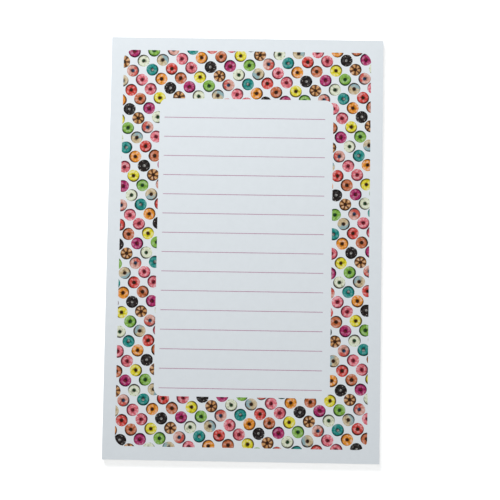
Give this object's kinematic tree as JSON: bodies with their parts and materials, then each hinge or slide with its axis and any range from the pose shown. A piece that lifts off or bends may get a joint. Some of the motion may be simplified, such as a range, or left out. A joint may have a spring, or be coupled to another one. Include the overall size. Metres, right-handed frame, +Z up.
{
  "type": "ruled notepad",
  "caption": "Tear-off ruled writing pad, portrait, glued along its head to a chipboard back, with a printed border of iced ring doughnuts round the writing window.",
  "frame": {"origin": "middle of the underside of the chipboard back, glue coat included", "axes": "+X to the right of the page, +Y towards the glued head, +Z up out of the writing face"},
  "size_m": [0.1396, 0.2162, 0.0058],
  "materials": {
    "leaf_paper": "matte, uncoated wood-free writing paper with cut edges",
    "grey_chipboard": "matte, pressed waste-paper board",
    "padding_compound": "satin, brushed-on flexible white adhesive",
    "rule_ink": "matte offset ink on paper",
    "ink_lemon": "matte offset ink on paper",
    "ink_coral": "matte offset ink on paper",
    "ink_cream": "matte offset ink on paper",
    "ink_chocolate": "matte offset ink on paper",
    "ink_rose": "matte offset ink on paper",
    "ink_lime": "matte offset ink on paper",
    "ink_peach": "matte offset ink on paper",
    "ink_teal": "matte offset ink on paper",
    "ink_caramel": "matte offset ink on paper",
    "ink_strawberry": "matte offset ink on paper",
    "ink_vanilla": "matte offset ink on paper",
    "ink_magenta": "matte offset ink on paper",
    "ink_orange": "matte offset ink on paper",
    "ink_blush": "matte offset ink on paper",
    "ink_middle_brown": "matte offset ink on paper",
    "ink_middle_green": "matte offset ink on paper",
    "ink_middle_red": "matte offset ink on paper",
    "ink_middle_white": "matte offset ink on paper",
    "ink_middle_blue": "matte offset ink on paper"
  },
  "bodies": {
    "root": {"backing_board": "grey_chipboard", "holes_blue": "ink_middle_blue", "holes_brown": "ink_middle_brown", "holes_green": "ink_middle_green", "holes_red": "ink_middle_red", "holes_white": "ink_middle_white", "padding_glue": "padding_compound", "rings_blush": "ink_blush", "rings_caramel": "ink_caramel", "rings_chocolate": "ink_chocolate", "rings_coral": "ink_coral", "rings_cream": "ink_cream", "rings_lemon": "ink_lemon", "rings_lime": "ink_lime", "rings_magenta": "ink_magenta", "rings_orange": "ink_orange", "rings_peach": "ink_peach", "rings_rose": "ink_rose", "rings_strawberry": "ink_strawberry", "rings_teal": "ink_teal", "rings_vanilla": "ink_vanilla", "ruled_lines": "rule_ink", "sheets": "leaf_paper"}
  },
  "joints": []
}
